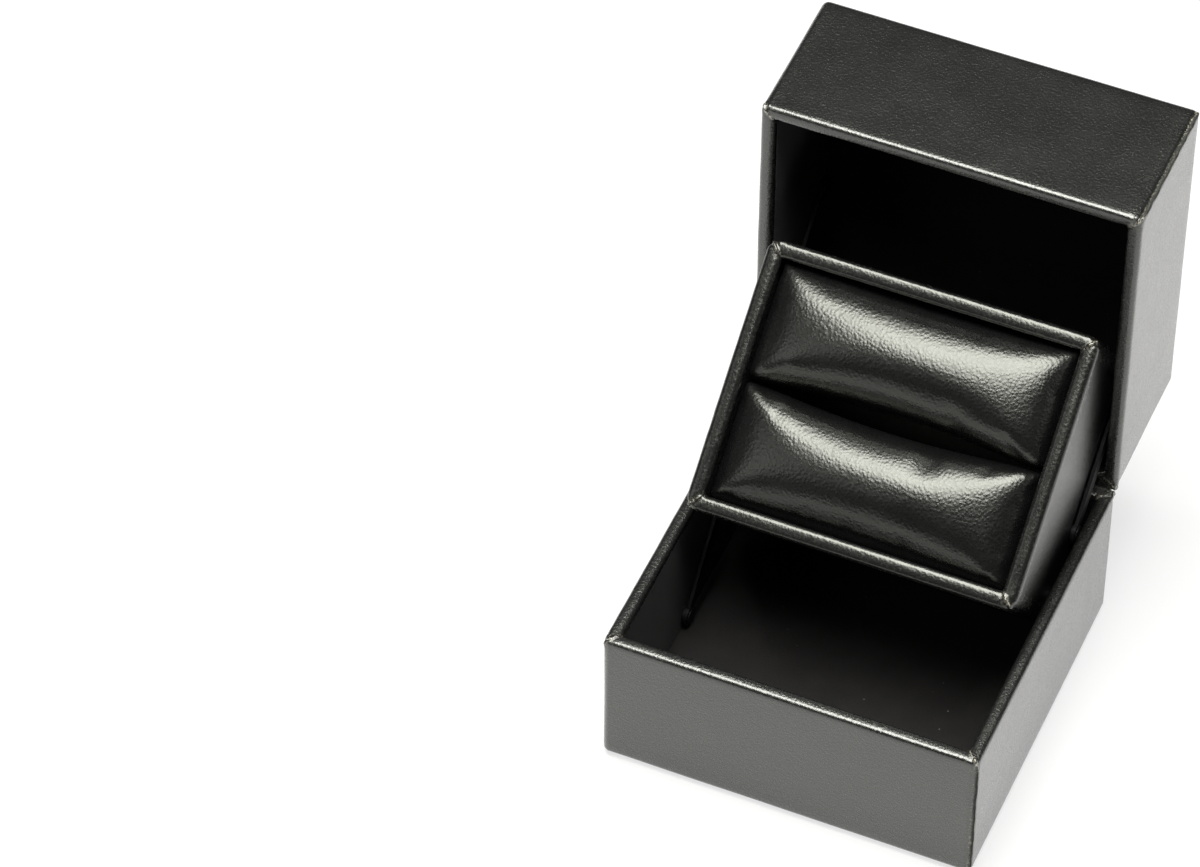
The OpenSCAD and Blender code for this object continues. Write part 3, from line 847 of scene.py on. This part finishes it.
def cushion(name, which, node):
    """One of the tray's two cushions, swollen and then smoothed."""
    piece = finish_piece(name, pad_mesh(which), Matrix.Identity(4), cushion_leatherette)
    inflate(piece, which)
    piece.data.transform(Matrix.Scale(MM, 4) @ tray_place() @ Matrix.Scale(1 / MM, 4))
    if not piece.data.materials:
        piece.data.materials.append(cushion_leatherette)
    even = piece.modifiers.new("even", "SMOOTH")
    even.factor = 0.5
    even.iterations = 4
    soften = piece.modifiers.new("soften", "SUBSURF")
    soften.levels = 1
    soften.render_levels = 1
    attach(piece, "tray")
    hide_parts(node)


cushion("lower_pad", LOWER, "lower_cushion")
cushion("upper_pad", UPPER, "upper_cushion")


# ---------------------------------------------------------------- floor, light and camera, in metres

FLOOR_HALF = 3.0
FLOOR_MIRRORED = 0.93                   # how bright the floor is in reflections, beside its own view
FLOOR_GLOW = 0.72                       # how much of the floor's view is even white

floor_mesh = bmesh.new()
bmesh.ops.create_grid(floor_mesh, x_segments=2, y_segments=2, size=FLOOR_HALF)
floor_data = bpy.data.meshes.new("floor")
floor_mesh.to_mesh(floor_data)
floor_mesh.free()
floor = bpy.data.objects.new("floor", floor_data)
bpy.context.scene.collection.objects.link(floor)
paper = Finish("white paper", Roughness=0.9, Specular_IOR_Level=0.1)
paper.set("Base Color", paper.blend(paper.noise(60.0), (0.80, 0.80, 0.80), (0.83, 0.83, 0.82)))
ray = paper.tree.nodes.new("ShaderNodeLightPath")
by_camera = Signal(paper, ray.outputs["Is Camera Ray"])
by_mirror = Signal(paper, ray.outputs["Is Glossy Ray"])
through_glass = Signal(paper, ray.outputs["Is Transmission Ray"])
seen = (by_camera + by_mirror * FLOOR_MIRRORED + through_glass).clamp()
glow = paper.node("ShaderNodeEmission", None, {"Color": (1, 1, 1, 1), "Strength": 1.0})
mixed = paper.node("ShaderNodeMixShader", None,
                   {0: seen * FLOOR_GLOW, 1: Signal(paper, paper.surface.outputs[0]), 2: glow})
paper.feed(paper.tree.nodes["Material Output"].inputs["Surface"], mixed)
floor_data.materials.append(paper.material)


def softbox(name, place, aim, width, height, watts, colour=(1, 1, 1)):
    """A flat rectangular lamp that faces its aim."""
    lamp = bpy.data.lights.new(name, "AREA")
    lamp.shape = "RECTANGLE"
    lamp.size = width
    lamp.size_y = height
    lamp.energy = watts
    lamp.color = colour
    holder = bpy.data.objects.new(name, lamp)
    holder.location = place
    holder.rotation_euler = (Vector(aim) - Vector(place)).to_track_quat("-Z", "Y").to_euler()
    bpy.context.scene.collection.objects.link(holder)


softbox("overhead", place=(-0.05, -0.03, 0.75), aim=(0, 0.01, 0.04), width=0.54, height=0.47,
        watts=12.0, colour=(1.0, 0.995, 0.97))
softbox("front_left", place=(-0.75, -0.85, 0.75), aim=(0, 0, 0.03), width=0.5, height=0.5, watts=1.2)
softbox("right", place=(0.9, 0.1, 0.55), aim=(0, 0, 0.03), width=0.5, height=0.5, watts=0.6)

world = bpy.data.worlds.new("studio")
bpy.context.scene.world = world
world.use_nodes = True
background = world.node_tree.nodes["Background"]
background.inputs["Color"].default_value = (1, 1, 1, 1)
background.inputs["Strength"].default_value = 0.045

bpy.context.scene.view_settings.view_transform = "Standard"

AZIMUTH = math.radians(23.22)
ELEVATION = math.radians(47.674)
ROLL = math.radians(0.194)
# The eye's place in box widths, along the line of sight and across it.
EYE_BACK = 15.615
EYE_LEFT = 0.6588
EYE_UP = 0.6250
FILM_WIDTH = 36.0
FOCAL_LENGTH = 182.57

back = Vector((math.sin(AZIMUTH) * math.cos(ELEVATION),
               -math.cos(AZIMUTH) * math.cos(ELEVATION),
               math.sin(ELEVATION)))
right = Vector((math.cos(AZIMUTH), math.sin(AZIMUTH), 0))
up = back.cross(right)
eye = (back * EYE_BACK - right * EYE_LEFT + up * EYE_UP) * BOX_WIDTH * MM
across = right * math.cos(ROLL) + up * math.sin(ROLL)
upward = up * math.cos(ROLL) - right * math.sin(ROLL)
lens = bpy.data.cameras.new("camera")
lens.sensor_fit = "HORIZONTAL"
lens.sensor_width = FILM_WIDTH
lens.lens = FOCAL_LENGTH
lens.clip_start = 0.05
lens.clip_end = 20.0
camera = bpy.data.objects.new("camera", lens)
camera.matrix_world = Matrix((
    (across.x, upward.x, back.x, eye.x), (across.y, upward.y, back.y, eye.y),
    (across.z, upward.z, back.z, eye.z), (0, 0, 0, 1)))
bpy.context.scene.collection.objects.link(camera)
bpy.context.scene.camera = camera
